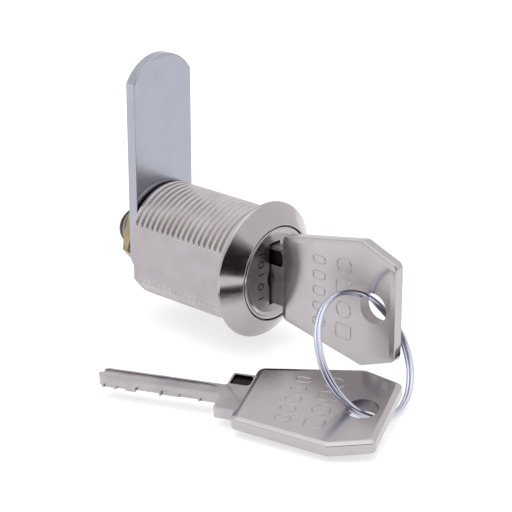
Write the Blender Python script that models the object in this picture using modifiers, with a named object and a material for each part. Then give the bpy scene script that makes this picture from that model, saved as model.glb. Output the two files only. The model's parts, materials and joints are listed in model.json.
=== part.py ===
"""A panel cam lock with two keys on a split ring, modelled in metres.

The lock's axis is world Y. The key goes in from -Y, the cam and its nut are on the +Y end, and the
cam stands up along +Z. The origin is on the axis, in the plane of the flange's seat face, which is
where the front of the panel would be.
"""

import math

import bmesh
import bpy
from mathutils import Euler, Matrix, Vector

MM = 0.001
NAME = "cam_lock"

# Housing
THREAD_R = 9.5 * MM
FLAT_X = 8.0 * MM
BARREL_END = 20.6 * MM
REAR_POCKET_Y = 20.0 * MM
REAR_POCKET_R = 8.95 * MM
FLANGE_R = 11.0 * MM
FLANGE_EDGE = 0.5 * MM
FLANGE_FRONT = 2.9 * MM
BORE_R = 6.4 * MM
HEAD_BORE_R = 7.7 * MM
HEAD_BORE_DEPTH = 2.3 * MM
GROOVE_R = 7.3 * MM
GROOVE_HALF = 3.05 * MM
STOP_LUG_R = (7.0 * MM, 9.1 * MM)
STOP_LUG_HEIGHT = 0.8 * MM

# Plug
PLUG_R = 6.25 * MM
PLUG_HEAD_R = 7.1 * MM
PLUG_HEAD_FRONT = 2.0 * MM
PLUG_END = 20.05 * MM
TAIL_FLAT = 3.1 * MM
TAIL_R = 3.9 * MM
TAIL_END = 22.7 * MM
STUD_R = 2.95 * MM
STUD_END = 29.3 * MM
KEYWAY_X = 1.25 * MM
KEYWAY_Z = 1.65 * MM
KEYWAY_END = 18.9 * MM
SHOULDER_SLOT_Z = 5.1 * MM
SHOULDER_SLOT_END = 1.1 * MM

# Wafers, in slots across the plug
WAFER_COUNT = 6
WAFER_FIRST_Y = 2.2 * MM
WAFER_PITCH = 2.5 * MM
RETAINER_Y = 17.3 * MM
RETAINER_RISE = 0.6 * MM
SLOT_T = 1.3 * MM
WAFER_T = 0.9 * MM
WAFER_HALF = 2.6 * MM
WAFER_R = 6.05 * MM
LUG_X = 4.5 * MM
LUG_Z = (0.55 * MM, 1.25 * MM)
SPRING_X = 3.65 * MM
SPRING_R = 0.42 * MM
SPRING_WIRE_R = 0.11 * MM
SPRING_TURNS = 4
SPRING_Z = (-2.7 * MM, 0.25 * MM)

# Parts on the tail
STOP_WASHER_R = 6.3 * MM
STOP_WASHER_Y = (20.2 * MM, 20.9 * MM)
STOP_TAB_R = 8.7 * MM
STOP_TAB_HALF_DEG = 14.0
CAM_Y = (21.0 * MM, 22.8 * MM)
CAM_HALF = 6.55 * MM
CAM_TOP = 31.0 * MM
CAM_TOP_R = 7.6 * MM
CAM_FOOT_R = 6.95 * MM
TAIL_HOLE = 3.25 * MM
TAIL_HOLE_R = 4.1 * MM
LOCK_WASHER_R = (3.1 * MM, 5.0 * MM)
LOCK_WASHER_Y = (22.9 * MM, 23.4 * MM)
NUT_FLATS = 11.0 * MM
NUT_Y = (23.5 * MM, 25.2 * MM)
NUT_TURN_DEG = 47.0

# Keys, in their own u (towards the bow's end), v (across) and w (thickness)
KEY_T = 2.1 * MM
BLADE_TIP = -18.4 * MM
BLADE_HALF = 1.42 * MM
SHOULDER_U = 1.4 * MM
SHOULDER_V = 4.8 * MM
BOW_START = (4.7 * MM, 7.0 * MM)
BOW_WIDEST = (20.3 * MM, 10.25 * MM)
BOW_END = (26.65 * MM, 7.8 * MM)
BOW_ROUND = 1.1 * MM
RING_HOLE_U = 22.65 * MM
RING_HOLE_R = 2.45 * MM
SPARE_PLACE = Vector((-22.88, -10.23, -9.92)) * MM
SPARE_TURN_DEG = (7.4, -0.44, -67.95)

# Split ring
RING_CENTRE = Vector((-7.635, -26.277, -4.148)) * MM
RING_AXIS = Vector((0.08, -0.829, 0.559))
RING_R = 9.75 * MM
WIRE_R = 0.36 * MM

AROUND = 48


def hang_on(obj, name, centre):
    """Parents an object to an empty that marks a point on its hinge's axis."""
    empty = bpy.data.objects.new(name, None)
    empty.empty_display_size = 2 * MM
    parts.objects.link(empty)
    empty.location = centre
    obj.parent = empty
    obj.matrix_parent_inverse = Matrix.Translation(centre).inverted()


def clear_scene():
    for obj in list(bpy.data.objects):
        bpy.data.objects.remove(obj)


def collection(name, hidden=False):
    made = bpy.data.collections.new(name)
    bpy.context.scene.collection.children.link(made)
    made.hide_render = hidden
    return made


def material(name, colour, roughness, metallic=1.0):
    made = bpy.data.materials.new(name)
    made.use_nodes = True
    shader = made.node_tree.nodes["Principled BSDF"]
    shader.inputs["Base Color"].default_value = (*colour, 1.0)
    shader.inputs["Roughness"].default_value = roughness
    shader.inputs["Metallic"].default_value = metallic
    return made


def place(name, mesh, finish, where=None):
    """A new object in the part's collection, or in the cutters' when it has no finish."""
    obj = bpy.data.objects.new(name, mesh)
    if finish is None:
        cutters.objects.link(obj)
        obj.hide_render = True
        obj.display_type = "WIRE"
    else:
        parts.objects.link(obj)
        mesh.materials.clear()
        mesh.materials.append(finish)
    if where is not None:
        obj.matrix_world = where
    return obj


def along_y(y=0.0, turn_deg=0.0):
    """Local X to world X, local Y to world Z, and local Z to world -Y."""
    stand = Matrix.Rotation(math.radians(90), 4, "X")
    return Matrix.Translation((0, y, 0)) @ Matrix.Rotation(math.radians(turn_deg), 4, "Y") @ stand


def turned(name, profile, finish, steps=AROUND):
    """A solid of revolution about world Y, from (radius, y) points in either order."""
    area = sum(
        a[0] * b[1] - b[0] * a[1] for a, b in zip(profile, profile[1:] + profile[:1])
    )
    points = profile if area < 0 else profile[::-1]
    mesh = bpy.data.meshes.new(name)
    count = len(points)
    mesh.from_pydata(
        [(r, 0, y) for r, y in points], [(i, (i + 1) % count) for i in range(count)], []
    )
    obj = place(name, mesh, finish, Matrix.Rotation(math.radians(-90), 4, "X"))
    screw = obj.modifiers.new("turn", "SCREW")
    screw.axis = "Z"
    screw.steps = steps
    screw.render_steps = steps
    screw.use_merge_vertices = True
    screw.merge_threshold = 0.00001
    screw.use_smooth_shade = True
    return obj


def realised(obj):
    """Replaces an object's modifiers or curve by the mesh that they make."""
    graph = bpy.context.evaluated_depsgraph_get()
    mesh = bpy.data.meshes.new_from_object(obj.evaluated_get(graph))
    work = bmesh.new()
    work.from_mesh(mesh)
    bmesh.ops.remove_doubles(work, verts=work.verts, dist=0.000001)
    work.to_mesh(mesh)
    work.free()
    return mesh


def plate(name, outline, thickness, finish, where, holes=()):
    """A flat plate centred on its own XY plane, cut out along closed outlines of (x, y) points."""
    curve = bpy.data.curves.new(name, "CURVE")
    curve.dimensions = "2D"
    curve.fill_mode = "BOTH"
    curve.extrude = thickness / 2
    for points in (outline, *holes):
        spline = curve.splines.new("POLY")
        spline.points.add(len(points) - 1)
        for spot, (x, y) in zip(spline.points, points):
            spot.co = (x, y, 0, 1)
        spline.use_cyclic_u = True
    guide = bpy.data.objects.new(name + "_outline", curve)
    parts.objects.link(guide)
    mesh = realised(guide)
    bpy.data.objects.remove(guide)
    mesh.name = name
    return place(name, mesh, finish, where)


def box(name, low, high, where=None):
    """A box-shaped cutter between two corners."""
    low, high = Vector(low), Vector(high)
    work = bmesh.new()
    middle = Matrix.Translation((low + high) / 2) @ Matrix.Diagonal((*(high - low), 1))
    bmesh.ops.create_cube(work, size=1, matrix=middle)
    mesh = bpy.data.meshes.new(name)
    work.to_mesh(mesh)
    work.free()
    return place(name, mesh, None, where)


def cut(obj, *tools, keep=False):
    """Cuts the tools from an object, or with keep, leaves only what they hold."""
    for tool in tools:
        modifier = obj.modifiers.new(tool.name, "BOOLEAN")
        modifier.operation = "INTERSECT" if keep else "DIFFERENCE"
        modifier.object = tool


def arc(centre, radius, start_deg, end_deg, steps):
    """Points along an arc, both ends included."""
    for i in range(steps + 1):
        angle = math.radians(start_deg + (end_deg - start_deg) * i / steps)
        yield (centre[0] + radius * math.cos(angle), centre[1] + radius * math.sin(angle))


def circle(centre, radius, steps):
    return list(arc(centre, radius, 0, 360 * (steps - 1) / steps, steps - 1))


def rounded(corners, radius, steps=4):
    """A closed outline whose corners become arcs. Each corner is (x, y) or (x, y, radius)."""
    found = []
    for i, corner in enumerate(corners):
        here = Vector(corner[:2])
        back = (Vector(corners[i - 1][:2]) - here).normalized()
        ahead = (Vector(corners[(i + 1) % len(corners)][:2]) - here).normalized()
        size = corner[2] if len(corner) > 2 else radius
        if size <= 0:
            found.append(tuple(here))
            continue
        half = back.angle(ahead) / 2
        centre = here + (back + ahead).normalized() * size / math.sin(half)
        start = here + back * size / math.tan(half) - centre
        sweep = math.pi - 2 * half
        if back.x * ahead.y - back.y * ahead.x > 0:
            sweep = -sweep
        for k in range(steps + 1):
            turn = Matrix.Rotation(sweep * k / steps, 2)
            found.append(tuple(centre + turn @ start))
    return found


def square_hole(half, corner_r, steps=3):
    """A square whose corners are cut by a circle, as the plug's tail has."""
    reach = math.degrees(math.acos(half / corner_r))
    points = []
    for side in range(4):
        points += arc((0, 0), corner_r, 90 * side + reach, 90 * side + 90 - reach, steps)
    return points


def build_housing():
    profile = [
        (REAR_POCKET_R, BARREL_END),
        (THREAD_R - 0.25 * MM, BARREL_END),
        (THREAD_R, BARREL_END - 0.25 * MM),
        (THREAD_R, 0.0),
        (FLANGE_R, 0.0),
        (FLANGE_R, -FLANGE_EDGE),
        (FLANGE_R - 0.75 * MM, -FLANGE_EDGE - 0.7 * MM),
        (FLANGE_R - 1.8 * MM, -FLANGE_EDGE - 1.5 * MM),
        (FLANGE_R - 2.7 * MM, -FLANGE_FRONT + 0.15 * MM),
        (HEAD_BORE_R, -FLANGE_FRONT),
        (HEAD_BORE_R, -FLANGE_FRONT + HEAD_BORE_DEPTH),
        (BORE_R, -FLANGE_FRONT + HEAD_BORE_DEPTH),
        (BORE_R, RETAINER_Y - SLOT_T / 2),
        (GROOVE_R, RETAINER_Y - SLOT_T / 2),
        (GROOVE_R, RETAINER_Y + SLOT_T / 2),
        (BORE_R, RETAINER_Y + SLOT_T / 2),
        (BORE_R, REAR_POCKET_Y),
        (REAR_POCKET_R, REAR_POCKET_Y),
    ]
    housing = turned("housing", profile, nickel)
    for lug in build_stop_lugs():
        join = housing.modifiers.new(lug.name, "BOOLEAN")
        join.operation = "UNION"
        join.object = lug
    start = WAFER_FIRST_Y - SLOT_T
    end = WAFER_FIRST_Y + (WAFER_COUNT - 1) * WAFER_PITCH + SLOT_T
    upright = box("groove_up", (-GROOVE_HALF, start, -GROOVE_R), (GROOVE_HALF, end, GROOVE_R))
    across = box("groove_across", (-GROOVE_R, start, -GROOVE_HALF), (GROOVE_R, end, GROOVE_HALF))
    side = 2 * THREAD_R
    tools = [upright, across]
    for sign in (-1, 1):
        edges = sorted((sign * FLAT_X, sign * side))
        low = (edges[0], 0.02 * MM, -side)
        high = (edges[1], BARREL_END + 2 * MM, side)
        tools.append(box(f"flat_{sign}", low, high))
    cut(housing, *tools)


def build_stop_lugs():
    """Two lugs in the barrel's rear pocket that stop the washer's tab 90 degrees apart."""
    span = 20.0
    tab_half = STOP_TAB_R * math.sin(math.radians(STOP_TAB_HALF_DEG))
    gap = math.degrees(math.asin(tab_half / STOP_LUG_R[0])) + 1.0
    rear = []
    for name, first in (("stop_lug_closed", gap), ("stop_lug_open", -90 - gap - span)):
        inner, outer = STOP_LUG_R
        outline = list(arc((0, 0), outer, first, first + span, 5))
        outline += list(arc((0, 0), inner, first + span, first, 5))
        height = STOP_LUG_HEIGHT + MM
        middle = REAR_POCKET_Y + STOP_LUG_HEIGHT - height / 2
        rear.append(plate(name, outline, height, None, along_y(middle)))
    return rear


def build_plug():
    profile = [
        (0.0, STUD_END),
        (STUD_R - 0.5 * MM, STUD_END),
        (STUD_R, STUD_END - 0.5 * MM),
        (STUD_R, TAIL_END),
        (TAIL_R, TAIL_END),
        (TAIL_R, PLUG_END),
        (PLUG_R, PLUG_END),
        (PLUG_R, -FLANGE_FRONT + HEAD_BORE_DEPTH - 0.1 * MM),
        (PLUG_HEAD_R, -FLANGE_FRONT + HEAD_BORE_DEPTH - 0.1 * MM),
        (PLUG_HEAD_R, -PLUG_HEAD_FRONT),
        (0.0, -PLUG_HEAD_FRONT),
    ]
    plug = turned("plug", profile[::-1], brass)
    far = 10 * MM
    tools = [
        box("keyway", (-KEYWAY_X, -far, -KEYWAY_Z), (KEYWAY_X, KEYWAY_END, KEYWAY_Z)),
        box(
            "shoulder_slot",
            (-KEYWAY_X, -far, -SHOULDER_SLOT_Z),
            (KEYWAY_X, -SHOULDER_SLOT_END, SHOULDER_SLOT_Z),
        ),
    ]
    for sign in (-1, 1):
        for axis in (0, 2):
            low = [-far, PLUG_END, -far]
            high = [far, STUD_END + MM, far]
            low[axis], high[axis] = sorted((sign * TAIL_FLAT, sign * far))
            tools.append(box(f"tail_{axis}_{sign}", low, high))
    for number in range(WAFER_COUNT + 1):
        y, side = wafer_place(number)
        half = WAFER_HALF + 0.15 * MM
        slot_low = (-half, y - SLOT_T / 2, -far)
        slot_high = (half, y + SLOT_T / 2, far)
        tools.append(box(f"wafer_slot_{number}", slot_low, slot_high))
        pocket_low = (half - 0.1 * MM, y - SLOT_T / 2, SPRING_Z[0] - 0.2 * MM)
        pocket_high = (LUG_X + 0.15 * MM, y + SLOT_T / 2, LUG_Z[1] + 0.9 * MM)
        where = Matrix.Rotation(math.radians(0 if side > 0 else 180), 4, "Y")
        tools.append(box(f"spring_pocket_{number}", pocket_low, pocket_high, where))
    cut(plug, *tools)
    return plug


def wafer_place(number):
    """A wafer's y, and 1 where its spring lifts it or -1 where it is turned upside down.

    The last one holds the plug in the housing.
    """
    if number == WAFER_COUNT:
        return RETAINER_Y, 1
    return WAFER_FIRST_Y + number * WAFER_PITCH, 1 - 2 * (number % 2)


def wafer_outline():
    reach = math.degrees(math.asin(WAFER_HALF / WAFER_R))
    points = list(arc((0, 0), WAFER_R, 90 - reach, 90 + reach, 6))
    points += list(arc((0, 0), WAFER_R, 270 - reach, 270 + reach, 6))
    points += [(WAFER_HALF, LUG_Z[0]), (LUG_X, LUG_Z[0]), (LUG_X, LUG_Z[1]), (WAFER_HALF, LUG_Z[1])]
    return points


def build_wafer(name, number, rise=0.0):
    y, side = wafer_place(number)
    window = [
        (-KEYWAY_X, -2.35 * MM),
        (KEYWAY_X, -2.35 * MM),
        (KEYWAY_X, 1.7 * MM),
        (-KEYWAY_X, 1.7 * MM),
    ]
    where = along_y(y, 0 if side > 0 else 180) @ Matrix.Translation((0, rise, 0))
    return plate(name, wafer_outline(), WAFER_T, brass, where, [window])


def build_spring(name, number, rise=0.0):
    """A short compression spring in its pocket, under the wafer's lug."""
    y, side = wafer_place(number)
    curve = bpy.data.curves.new(name, "CURVE")
    curve.dimensions = "3D"
    curve.bevel_depth = SPRING_WIRE_R
    curve.bevel_resolution = 1
    curve.use_fill_caps = True
    steps = 9 * SPRING_TURNS
    spline = curve.splines.new("POLY")
    spline.points.add(steps)
    low = SPRING_Z[0] + SPRING_WIRE_R
    high = SPRING_Z[1] + rise - SPRING_WIRE_R
    for i, spot in enumerate(spline.points):
        angle = 2 * math.pi * SPRING_TURNS * i / steps
        x = SPRING_X + SPRING_R * math.cos(angle)
        z = low + (high - low) * i / steps
        spot.co = (x, SPRING_R * math.sin(angle), z, 1)
    obj = bpy.data.objects.new(name, curve)
    curve.materials.append(steel)
    parts.objects.link(obj)
    turn = Matrix.Rotation(math.radians(0 if side > 0 else 180), 4, "Y")
    obj.matrix_world = Matrix.Translation((0, y, 0)) @ turn
    return obj


def build_face_cap():
    """The thin pressed cap over the plug's head, with a raised rim and a dished face."""
    skin = 0.3 * MM
    rim, dish = 6.45 * MM, 0.42 * MM
    outer = HEAD_BORE_R - 0.15 * MM
    front = -FLANGE_FRONT + 0.05 * MM
    back = -PLUG_HEAD_FRONT - 0.08 * MM
    profile = [
        (0.0, back),
        (PLUG_HEAD_R + 0.1 * MM, back),
        (PLUG_HEAD_R + 0.1 * MM, back + 1.3 * MM),
        (outer, back + 1.3 * MM),
        (outer, front + 0.3 * MM),
        (outer - 0.35 * MM, front),
        (rim + 0.15 * MM, front),
        (rim - 0.1 * MM, front + dish),
        (0.0, back - skin),
    ]
    cap = turned("face_cap", profile, bright)
    reach = 5 * MM
    slot = box(
        "cap_slot",
        (-KEYWAY_X - 0.05 * MM, -reach, -SHOULDER_SLOT_Z - 0.05 * MM),
        (KEYWAY_X + 0.05 * MM, reach, SHOULDER_SLOT_Z + 0.05 * MM),
    )
    cut(cap, slot)
    return cap


def build_stop_washer():
    half = STOP_TAB_HALF_DEG
    step_deg = math.degrees(math.asin(STOP_TAB_R * math.sin(math.radians(half)) / STOP_WASHER_R))
    outline = list(arc((0, 0), STOP_TAB_R, -half, half, 4))
    outline += list(arc((0, 0), STOP_WASHER_R, step_deg, 360 - step_deg, 36))
    low, high = STOP_WASHER_Y
    hole = square_hole(TAIL_HOLE, TAIL_HOLE_R)
    return plate("stop_washer", outline, high - low, zinc, along_y((low + high) / 2), [hole])


def build_cam():
    low, high = CAM_Y
    top_centre = CAM_TOP - CAM_TOP_R
    top_reach = math.degrees(math.asin(CAM_HALF / CAM_TOP_R))
    foot_reach = math.degrees(math.asin(CAM_HALF / CAM_FOOT_R))
    outline = list(arc((0, top_centre), CAM_TOP_R, 90 - top_reach, 90 + top_reach, 14))
    outline += list(arc((0, 0), CAM_FOOT_R, 270 - foot_reach, 270 + foot_reach, 14))
    hole = square_hole(TAIL_HOLE, TAIL_HOLE_R)
    cam = plate("cam", outline, high - low, zinc, along_y((low + high) / 2), [hole])
    edge = cam.modifiers.new("edge", "BEVEL")
    edge.width = 0.2 * MM
    edge.segments = 1
    edge.limit_method = "ANGLE"
    edge.angle_limit = math.radians(60)
    return cam


def build_lock_washer():
    """A split spring washer, one turn of square wire with a small gap."""
    inner, outer = LOCK_WASHER_R
    low, high = LOCK_WASHER_Y
    gap_deg = 8.0
    outline = list(arc((0, 0), outer, 90 + gap_deg, 450 - gap_deg, 36))
    outline += list(arc((0, 0), inner, 450 - gap_deg, 90 + gap_deg, 36))
    return plate("lock_washer", outline, high - low, steel, along_y((low + high) / 2))


def build_nut():
    """A hexagon nut: a prism kept inside a chamfered turned blank."""
    low, high = NUT_Y
    corner = NUT_FLATS / 2 / math.cos(math.radians(30))
    outline = circle((0, 0), corner, 6)
    hole = circle((0, 0), STUD_R + 0.1 * MM, 24)
    turn = along_y((low + high) / 2, NUT_TURN_DEG)
    nut = plate("hex_nut", outline, high - low, passivated, turn, [hole])
    chamfer = 0.45 * MM
    blank = [
        (0.0, high + MM),
        (NUT_FLATS / 2 - 2 * MM, high + MM),
        (NUT_FLATS / 2 - 0.1 * MM, high),
        (corner + 0.05 * MM, high - chamfer),
        (corner + 0.05 * MM, low + chamfer),
        (NUT_FLATS / 2 - 0.1 * MM, low),
        (NUT_FLATS / 2 - 2 * MM, low - MM),
        (0.0, low - MM),
    ]
    cut(nut, turned("nut_blank", blank, None, 36), keep=True)
    return nut


def key_outline():
    tip = 1.0 * MM
    half = [
        (BLADE_TIP, BLADE_HALF - tip, 0.3 * MM),
        (BLADE_TIP + tip, BLADE_HALF, 0.3 * MM),
        (SHOULDER_U, BLADE_HALF, 0.25 * MM),
        (SHOULDER_U, SHOULDER_V, 0.3 * MM),
        (BOW_START[0], SHOULDER_V, 0.2 * MM),
        (*BOW_START, BOW_ROUND),
        (*BOW_WIDEST, BOW_ROUND),
        (*BOW_END, BOW_ROUND),
    ]
    other = [(u, -v, r) for u, v, r in reversed(half)]
    return rounded(half + other, 0, 3)


def key_cutters(name, where):
    """The groove along one side of the blade and the cuts that the wafers rest in."""
    depth = 0.5 * MM
    groove = box(
        name + "_groove",
        (BLADE_TIP - MM, 0.15 * MM, KEY_T / 2 - depth),
        (SHOULDER_U + 1.2 * MM, 0.8 * MM, KEY_T),
        where,
    )
    tools = [groove]
    for number in range(WAFER_COUNT):
        middle = -(WAFER_FIRST_Y + number * WAFER_PITCH)
        bite = (0.35 + 0.1 * (number * 2 % 3)) * MM
        low = (middle - 0.7 * MM, -2 * BLADE_HALF, -KEY_T)
        high = (middle + 0.7 * MM, -BLADE_HALF + bite, KEY_T)
        tools.append(box(f"{name}_cut_{number}", low, high, where))
    return tools


def build_key(name, where):
    hole = circle((RING_HOLE_U, 0), RING_HOLE_R, 32)
    key = plate(name, key_outline(), KEY_T, nickel, where, [hole])
    cut(key, *key_cutters(name, where))
    return key


def build_ring():
    """Two coils of wire side by side, closed into one body."""
    profile = [(RING_R + WIRE_R * c, WIRE_R * s) for c, s in capsule_section()]
    ring = turned("split_ring", profile, steel, 64)
    tilt = RING_AXIS.to_track_quat("Z", "Y").to_matrix().to_4x4()
    ring.matrix_world = Matrix.Translation(RING_CENTRE) @ tilt
    return ring


def capsule_section():
    """Unit section of two touching round wires, one above the other, with filled waists."""
    points = []
    for middle, first in ((0.95, -30), (-0.95, 150)):
        for c, s in arc((0, 0), 1.0, first, first + 240, 8):
            points.append((c, s + middle))
    return points


def key_in_lock():
    """u to world -Y, v to +Z and w to -X."""
    return Matrix(((0, 0, -1, 0), (-1, 0, 0, 0), (0, 1, 0, 0), (0, 0, 0, 1)))


def spare_key_place():
    roll, pitch, yaw = (math.radians(a) for a in SPARE_TURN_DEG)
    return Matrix.Translation(SPARE_PLACE) @ Euler((roll, pitch, yaw), "XYZ").to_matrix().to_4x4()


clear_scene()
parts = collection(NAME)
cutters = collection("cutters", hidden=True)
nickel = material("nickel_plate", (0.62, 0.59, 0.58), 0.28)
bright = material("bright_nickel", (0.72, 0.70, 0.69), 0.15)
zinc = material("zinc_plate", (0.60, 0.63, 0.68), 0.25)
passivated = material("yellow_passivated_zinc", (0.62, 0.50, 0.25), 0.35)
brass = material("brass", (0.72, 0.55, 0.30), 0.35)
steel = material("spring_steel", (0.60, 0.62, 0.68), 0.2)


def main():
    build_housing()
    build_plug()
    build_face_cap()
    for number in range(WAFER_COUNT):
        build_wafer(f"wafer_{number + 1}", number)
        build_spring(f"wafer_spring_{number + 1}", number)
    build_wafer("retaining_wafer", WAFER_COUNT, RETAINER_RISE)
    build_spring("retaining_spring", WAFER_COUNT, RETAINER_RISE)
    build_stop_washer()
    build_cam()
    build_lock_washer()
    build_nut()
    build_key("key_in_lock", key_in_lock())
    hang_on(build_ring(), "ring_swing_axis", Vector((0, -RING_HOLE_U, 0)))
    spare = build_key("spare_key", spare_key_place())
    hang_on(spare, "spare_key_axis", RING_CENTRE)


main()
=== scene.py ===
"""The looks of a panel cam lock with two keys on a split ring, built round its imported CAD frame.

Lengths are in metres, in the frame of the CAD: the lock's axis is Y, with the key side at -Y and
the cam at +Y, and the cam stands up along +Z. The origin is in the plane of the flange's seat face.
"""

import json
import math

import bmesh
import bpy
from mathutils import Euler, Matrix, Vector


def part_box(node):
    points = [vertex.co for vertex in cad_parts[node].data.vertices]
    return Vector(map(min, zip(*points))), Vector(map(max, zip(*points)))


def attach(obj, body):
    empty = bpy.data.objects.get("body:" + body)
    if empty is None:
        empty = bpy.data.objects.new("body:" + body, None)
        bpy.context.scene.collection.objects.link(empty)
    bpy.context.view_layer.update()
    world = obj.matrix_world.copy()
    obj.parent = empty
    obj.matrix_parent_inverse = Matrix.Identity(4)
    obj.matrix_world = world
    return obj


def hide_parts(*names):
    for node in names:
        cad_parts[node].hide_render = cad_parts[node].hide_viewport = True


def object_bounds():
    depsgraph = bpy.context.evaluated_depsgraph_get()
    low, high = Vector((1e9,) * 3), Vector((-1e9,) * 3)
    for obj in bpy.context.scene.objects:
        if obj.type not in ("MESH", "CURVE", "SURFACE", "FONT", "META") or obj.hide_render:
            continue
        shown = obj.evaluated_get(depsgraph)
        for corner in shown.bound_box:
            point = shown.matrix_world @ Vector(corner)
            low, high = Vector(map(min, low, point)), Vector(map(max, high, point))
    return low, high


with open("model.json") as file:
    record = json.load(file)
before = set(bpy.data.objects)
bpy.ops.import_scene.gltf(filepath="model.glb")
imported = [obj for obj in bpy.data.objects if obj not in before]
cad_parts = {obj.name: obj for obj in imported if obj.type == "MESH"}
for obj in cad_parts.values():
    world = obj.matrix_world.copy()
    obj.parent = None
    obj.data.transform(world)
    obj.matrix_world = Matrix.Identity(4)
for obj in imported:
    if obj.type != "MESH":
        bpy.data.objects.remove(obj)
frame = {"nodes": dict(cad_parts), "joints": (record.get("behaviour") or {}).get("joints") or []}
cad_low, cad_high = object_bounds()

MM = 0.001
NODES = frame["nodes"]
JOINTS = {joint["name"]: joint for joint in frame["joints"]}

# Housing
THREAD_R = 9.5 * MM
THREAD_DEPTH = 0.38 * MM
THREAD_PITCH = 1.11 * MM
THREAD_GAP = 0.02 * MM
FLAT_X = 8.0 * MM
BARREL_END = 20.6 * MM
REAR_POCKET_Y = 20.0 * MM
REAR_POCKET_R = 8.95 * MM
REAR_CHAMFER = 0.2 * MM
POCKET_WALL = 0.25 * MM
FLANGE_FRONT = -2.9 * MM
# The flange's cone from its front edge to the seat face: radius and y in mm
FLANGE_CONE = (
    (7.98, -2.865),
    (8.12, -2.79),
    (10.82, -0.62),
    (10.94, -0.48),
    (11.0, -0.36),
    (11.0, -0.12),
    (10.9, 0.0),
)
BORE_R = 6.4 * MM
HEAD_BORE_R = 7.7 * MM
HEAD_BORE_END = -0.6 * MM
GROOVE_R = 7.3 * MM
GROOVE_HALF = 3.05 * MM
WAFER_GROOVE_Y = (0.9 * MM, 16.0 * MM)
RETAINING_GROOVE_Y = (16.65 * MM, 17.95 * MM)
# The stop lugs: name, and the angle where each starts, in degrees
LUGS = (("stop_lug_closed", 19.4), ("stop_lug_open", -129.4))
LUG_SWEEP_DEG = 18
LUG_INNER_R = 7.0 * MM
LUG_T = 0.8 * MM
LUG_EDGE = 0.08 * MM

# Plug, its face and what sits on its tail
SLOT_HALF = 1.25 * MM
SLOT_TOP = 5.1 * MM
# The space behind the face's window, and the depths between which its floor lies; the hollow's
# faces there are painted near-black as painted shade
HOLLOW = ((-1.9 * MM, -4 * MM, -3.3 * MM), (0, 1.2 * MM, 4.4 * MM))
HOLLOW_SHADE_DEPTHS = (1.0 * MM, 1.4 * MM)
CAP_R = 7.55 * MM
CAP_FRONT = -2.86 * MM
CAP_BACK = -2.08 * MM
# The face's bright rim and dish: how far in from CAP_R and back from CAP_FRONT, in mm
CAP_RIM = (
    (0.0, 0.26),
    (0.05, 0.13),
    (0.17, 0.03),
    (0.32, 0.0),
    (0.52, 0.03),
    (0.78, 0.16),
    (0.96, 0.30),
    (1.15, 0.39),
    (1.55, 0.44),
    (2.6, 0.47),
)
DISH_RISE = 0.48 * MM
# The marks on the face stand in one column, at these heights in mm
FACE_MARK_X = -3.25 * MM
FACE_MARK_Z = (4.0, 2.3, 0.6, -1.4, -3.4)
TAIL_END = 22.75 * MM
STUD_R = 2.95 * MM
STUD_END = 29.3 * MM
STUD_THREAD_DEPTH = 0.42 * MM
STUD_PITCH = 1.0 * MM
STUD_CHAMFER = 0.65 * MM
TAIL_HOLE = 3.25 * MM
TAIL_HOLE_R = 4.1 * MM
CAM_HALF = 6.55 * MM
CAM_TOP_R = 7.6 * MM
CAM_FOOT_R = 6.95 * MM
WASHER_R = (3.1 * MM, 5.0 * MM)
WASHER_HALF_T = 0.17 * MM
WASHER_EDGE = 0.06 * MM
WASHER_RISE = 0.10 * MM
WASHER_START_DEG = 96
WASHER_SWEEP_DEG = 348

# Keys, in their own u (towards the bow's end), v (across) and w (thickness)
KEY_T = 2.1 * MM
BLADE_TIP = -18.4 * MM
BLADE_HALF = 1.42 * MM
BLADE_W = 0.94 * MM
RECESS_FLOOR = 0.45 * MM
# Blade cuts in mm: start and end along the blade, upper edge on the side wall, depth
BLADE_CUTS = (
    (-17.3, -15.7, -0.05, 0.38),
    (-15.3, -13.8, -0.20, 0.52),
    (-12.2, -8.4, 0.12, 0.66),
    (-8.1, -5.3, 0.22, 0.42),
    (-5.3, -2.2, 0.05, 0.60),
    (-1.9, 0.9, -0.10, 0.36),
)
GROOVE_V = 0.55 * MM
# The groove's cutter from beyond the tip to its run-out: u and radius, in mm
GROOVE_RUN = ((-20.4, 0.46), (-1.4, 0.46), (-0.6, 0.34), (0.6, 0.05))
# The recess beside the shoulder, in mm
RECESS_CORNERS = ((1.75, 1.75), (4.5, 1.75), (4.85, 2.2), (4.85, 3.7), (4.5, 4.35), (1.75, 4.35))
# The embossed marks stand in two columns across the bow, at these v in mm
FAR_MARKS_U = 17.0 * MM
FAR_MARKS_V = (-5.4, -1.8, 1.8, 5.4)
NEAR_MARKS_U = 12.2 * MM
NEAR_MARKS_V = (-5.2, -2.6, 0.0, 2.6, 5.2)
MARK_R = 0.115 * MM
MARK_SINK = 0.03 * MM
SHOULDER = (1.4 * MM, 4.8 * MM)
BOW_START = (4.7 * MM, 7.0 * MM)
BOW_WIDEST = (20.3 * MM, 10.25 * MM)
BOW_END = (26.65 * MM, 7.8 * MM)
BOW_ROUND = 1.1 * MM
RING_HOLE_U = 22.65 * MM
RING_HOLE_R = 2.45 * MM
SPARE_PLACE = Vector((-22.88, -10.23, -9.92)) * MM
SPARE_TURN_DEG = (7.4, -0.44, -67.95)

# Split ring
RING_R = 9.75 * MM
WIRE_R = 0.345 * MM
RING_START_DEG = 52.0
RING_SWEEP_DEG = 716.0
RING_CROSS_DEG = 26.0
WIRE_END_TAPER = (0.80, 0.93, 0.98)


# ---------------------------------------------------------------- mesh helpers

def finished(obj, finish, body, smooth_deg=32):
    """Shades a piece, gives it its material and hangs it on its body."""
    obj.data.materials.clear()
    obj.data.materials.append(finish)
    obj.data.shade_smooth()
    obj.data.set_sharp_from_angle(angle=math.radians(smooth_deg))
    normals = obj.modifiers.new("normals", "WEIGHTED_NORMAL")
    normals.keep_sharp = True
    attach(obj, body)
    return obj


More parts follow.
